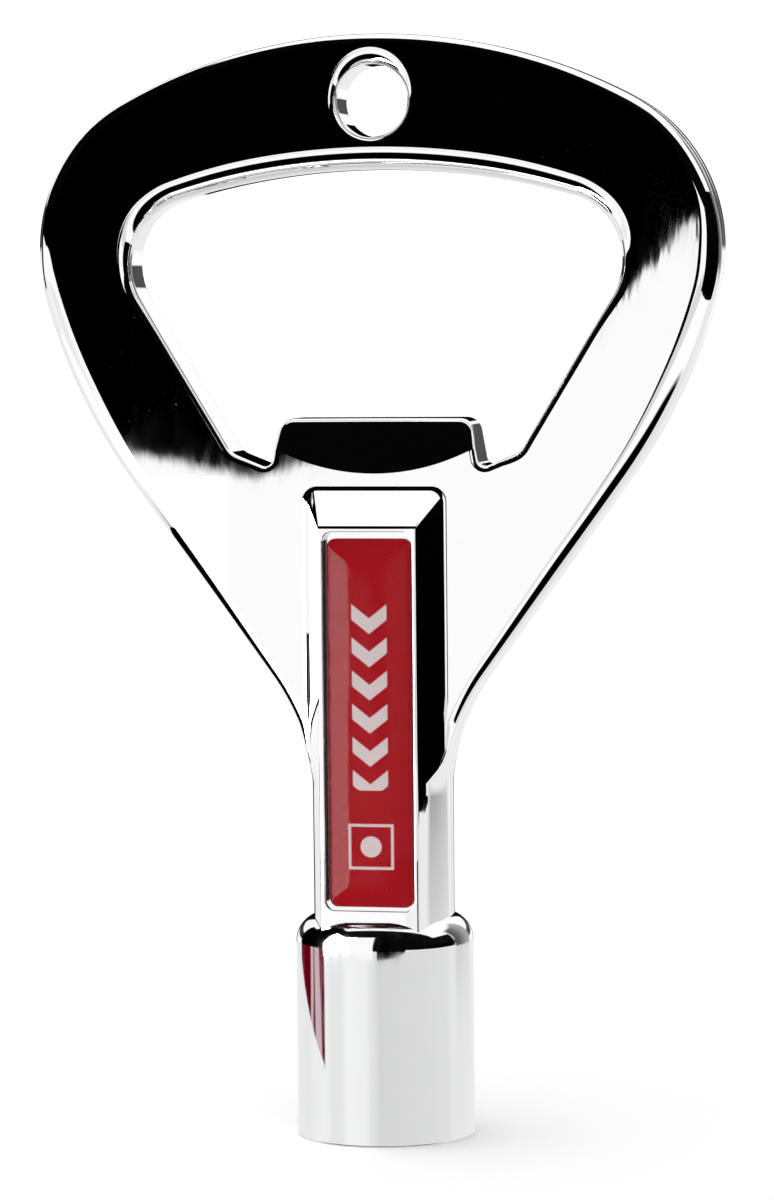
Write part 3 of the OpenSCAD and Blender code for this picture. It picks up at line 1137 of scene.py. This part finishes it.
def ramp_of(graph, azimuth, stops, smooth=False):
    """A colour ramp over azimuth; each stop is (degrees, one or more channels between 0 and 1)."""
    ramp = graph.add("ShaderNodeValToRGB")
    ramp.color_ramp.interpolation = "EASE" if smooth else "LINEAR"
    graph.put(ramp.inputs[0], graph.math("DIVIDE", graph.math("ADD", azimuth, 180.0), 360.0))
    elements = ramp.color_ramp.elements
    while len(elements) < len(stops):
        elements.new(0.5)
    for element, (turn, *channels) in zip(elements, stops):
        element.position = (turn + 180) / 360
        element.color = (*channels, *[0.0] * (3 - len(channels)), 1)
    channels = graph.add("ShaderNodeSeparateColor")
    graph.put(channels.inputs[0], ramp.outputs[0])
    return channels.outputs


def make_world():
    """A white studio with dark surroundings, which only reflections show."""
    world = bpy.data.worlds.new("studio")
    bpy.context.scene.world = world
    world.use_nodes = True
    tree = world.node_tree
    tree.nodes.clear()
    graph = Graph(tree)
    x, y, z = graph.split(graph.add("ShaderNodeTexCoord").outputs["Generated"])
    azimuth = graph.math("DEGREES", graph.math("ARCTAN2", x, graph.times(y, -1.0)))
    elevation = graph.math("DEGREES", graph.math("ARCSINE", z))

    # The dark surroundings have a crisp lower edge and a soft upper one
    stops = [(turn, (low + 90) / 180, (high + 90) / 180) for turn, low, high in DARK_EDGES]
    edges = ramp_of(graph, azimuth, stops)
    low_edge = graph.math("ADD", graph.times(edges[0], 180.0), -90.0)
    high_edge = graph.math("ADD", graph.times(edges[1], 180.0), -90.0)
    above_low = graph.step(graph.math("SUBTRACT", elevation, low_edge), -0.08, 0.08)
    below_high = graph.step(graph.math("SUBTRACT", high_edge, elevation), -1.0, 1.5)
    surroundings = graph.times(above_low, below_high)

    # The floor is white in front and shades off behind and straight below the key
    behind = graph.math("ABSOLUTE", azimuth)
    near = ramp_of(graph, azimuth, GROUND, smooth=True)[0]
    front = graph.math("MAXIMUM", near, graph.step(elevation, -15.0, -11.5, 1.08, 0.0))
    shade = graph.step(elevation, -90.0, -8.0, 0.6, 0.9)
    floor = graph.mix(graph.step(behind, 96.0, 112.0), front, shade)
    floor = graph.mix(graph.step(elevation, -66.0, -60.0, 1.0, 0.0), floor, shade)
    sky = graph.step(elevation, 10.0, 60.0, 1.06, 1.2)
    light = graph.mix(graph.step(elevation, -7.0, -5.0), floor, sky)

    def patch(turns, low, high, soft):
        """A patch of the room, with a share by azimuth and two limits in elevation."""
        return graph.times(turns, graph.span(elevation, low, high, soft))

    # A dark band stands on the horizon behind the key, and a grey wall behind it on the right
    back = patch(graph.step(behind, 110.0, 118.0), 0.5, 10.0, 0.5)
    light = graph.mix(back, light, graph.step(behind, 112.0, 180.0, 0.02, 0.09))
    wall = patch(graph.span(azimuth, 117.0, 156.0, 3.0), -7.0, 38.0, 3.0)
    light = graph.mix(wall, light, graph.step(azimuth, 120.0, 156.0, 0.1, 0.45))

    # A black band lies low in front, as the edge of a table would
    band = patch(graph.span(azimuth, -100.0, 100.0, 5.0), -62.0, -29.0, 1.5)
    dark = graph.math("MAXIMUM", surroundings, band)
    light = graph.times(light, graph.math("SUBTRACT", 1.0, dark))

    # The camera, matt surfaces and the resin see a plain white backdrop instead
    room = graph.add("ShaderNodeBackground")
    graph.give(room, {"Color": WHITE, "Strength": light})
    backdrop = graph.add("ShaderNodeBackground")
    graph.give(backdrop, {"Color": WHITE, "Strength": 1.2})
    path = graph.add("ShaderNodeLightPath")
    plain = graph.math("MAXIMUM", path.outputs["Is Camera Ray"], path.outputs["Is Diffuse Ray"])
    plain = graph.math("MAXIMUM", plain, path.outputs["Is Transmission Ray"])
    choose = graph.add("ShaderNodeMixShader")
    graph.put(choose.inputs[0], plain)
    graph.put(choose.inputs[1], room.outputs[0])
    graph.put(choose.inputs[2], backdrop.outputs[0])
    output = graph.add("ShaderNodeOutputWorld")
    graph.put(output.inputs[0], choose.outputs[0])


def make_floor():
    """A plain pale floor, 12 metres across, that the chrome's reflections leave out."""
    mesh = bpy.data.meshes.new("floor")
    size = 6.0
    corners = [(-size, -size, 0), (size, -size, 0), (size, size, 0), (-size, size, 0)]
    mesh.from_pydata(corners, [], [(0, 1, 2, 3)])
    floor = add_object("floor", mesh)
    material, graph, shader, place = new_material("studio_floor")
    cloud = graph.noise(place, 0.01, 1.0)
    colour = graph.mix(cloud, (0.88, 0.88, 0.88, 1), (0.9, 0.9, 0.9, 1))
    graph.give(shader, {"Base Color": colour, "Roughness": 0.9, "Specular IOR Level": 0.0})
    mesh.materials.append(material)
    floor.visible_glossy = False


def card_material(name, low, high, soft, strength, streaks=0.0):
    """A matt glowing card that goes from one colour to another between the two heights of soft.

    streaks is the strength of the pale upright streaks in its lower part.
    """
    material, graph, shader, place = new_material(name)
    share = graph.step(graph.split(place)[2], *soft)
    grain = graph.noise(graph.stretched(place, 0.3, 0.3, 0.05), 1.0, 2.0)
    lit = graph.times(graph.step(grain, 0.5, 0.62), streaks)
    lit = graph.times(lit, graph.math("SUBTRACT", 1.0, share))
    colour = graph.mix(lit, graph.mix(share, low, high), (1, 0.8, 0.85, 1))
    graph.give(shader, {"Emission Color": colour, "Emission Strength": strength})
    graph.give(shader, {"Base Color": BLACK, "Specular IOR Level": 0.0})
    return material


def make_card(name, corners, material):
    """A studio card that only shows in reflections. Corners are in millimetres."""
    mesh = bpy.data.meshes.new(name)
    mesh.from_pydata([Vector(corner) * MM for corner in corners], [], [(0, 1, 2, 3)])
    mesh.materials.append(material)
    card = add_object(name, mesh)
    card.visible_camera = card.visible_diffuse = False
    card.visible_shadow = card.visible_transmission = False


def make_cards():
    """Black, white and red cards close to the key, which its chrome shows."""
    heights = (0, 100)
    near_black, near_white = (0.002, 0.002, 0.002, 1), (0.98, 0.98, 0.98, 1)
    dark = card_material("card_black", BLACK, near_black, heights, 1.0)
    pale = card_material("card_pale", WHITE, near_white, heights, 1.07)
    bright = card_material("card_bright", WHITE, near_white, heights, 11.0)
    red = card_material("card_red", (0.13, 0.0, 0.009, 1), BLACK, (10.5, 11.5), 1.0, 0.6)

    # A level card above the head
    make_card("card_above", [(-160, -14, 92), (260, -14, 92), (260, -160, 92), (-160, -160, 92)], dark)
    # Upright cards: both ends, the height of the lower edge at each end, and the upper edge. The low
    # ones stand in front of the barrel, for its shoulder.
    for name, start, end, lows, high, material in (
        ("card_right", (196, -250), (196, 87), (0, 0), 133, dark),
        ("card_left", (-32, -13.7), (-32, 16.7), (0.4, 8), 34, red),
        ("card_window", (-45, -30), (-18, -30), (8, 11), 46, bright),
        ("card_low_left", (-16, -8.9), (-16, -18), (11.6, 11.6), 30, bright),
        ("card_low_window", (-16, -18), (-10.8, -18), (11.6, 11.6), 30, bright),
        ("card_low_white", (-10.8, -18), (-0.3, -18), (11.6, 11.6), 30, pale),
        ("card_low_black", (1.1, -18), (12.5, -18), (11.6, 11.6), 18.5, dark),
    ):
        corners = [(*start, lows[0]), (*end, lows[1]), (*end, high), (*start, high)]
        make_card(name, corners, material)


make_world()
make_floor()
make_cards()
bpy.context.scene.view_settings.view_transform = "Standard"
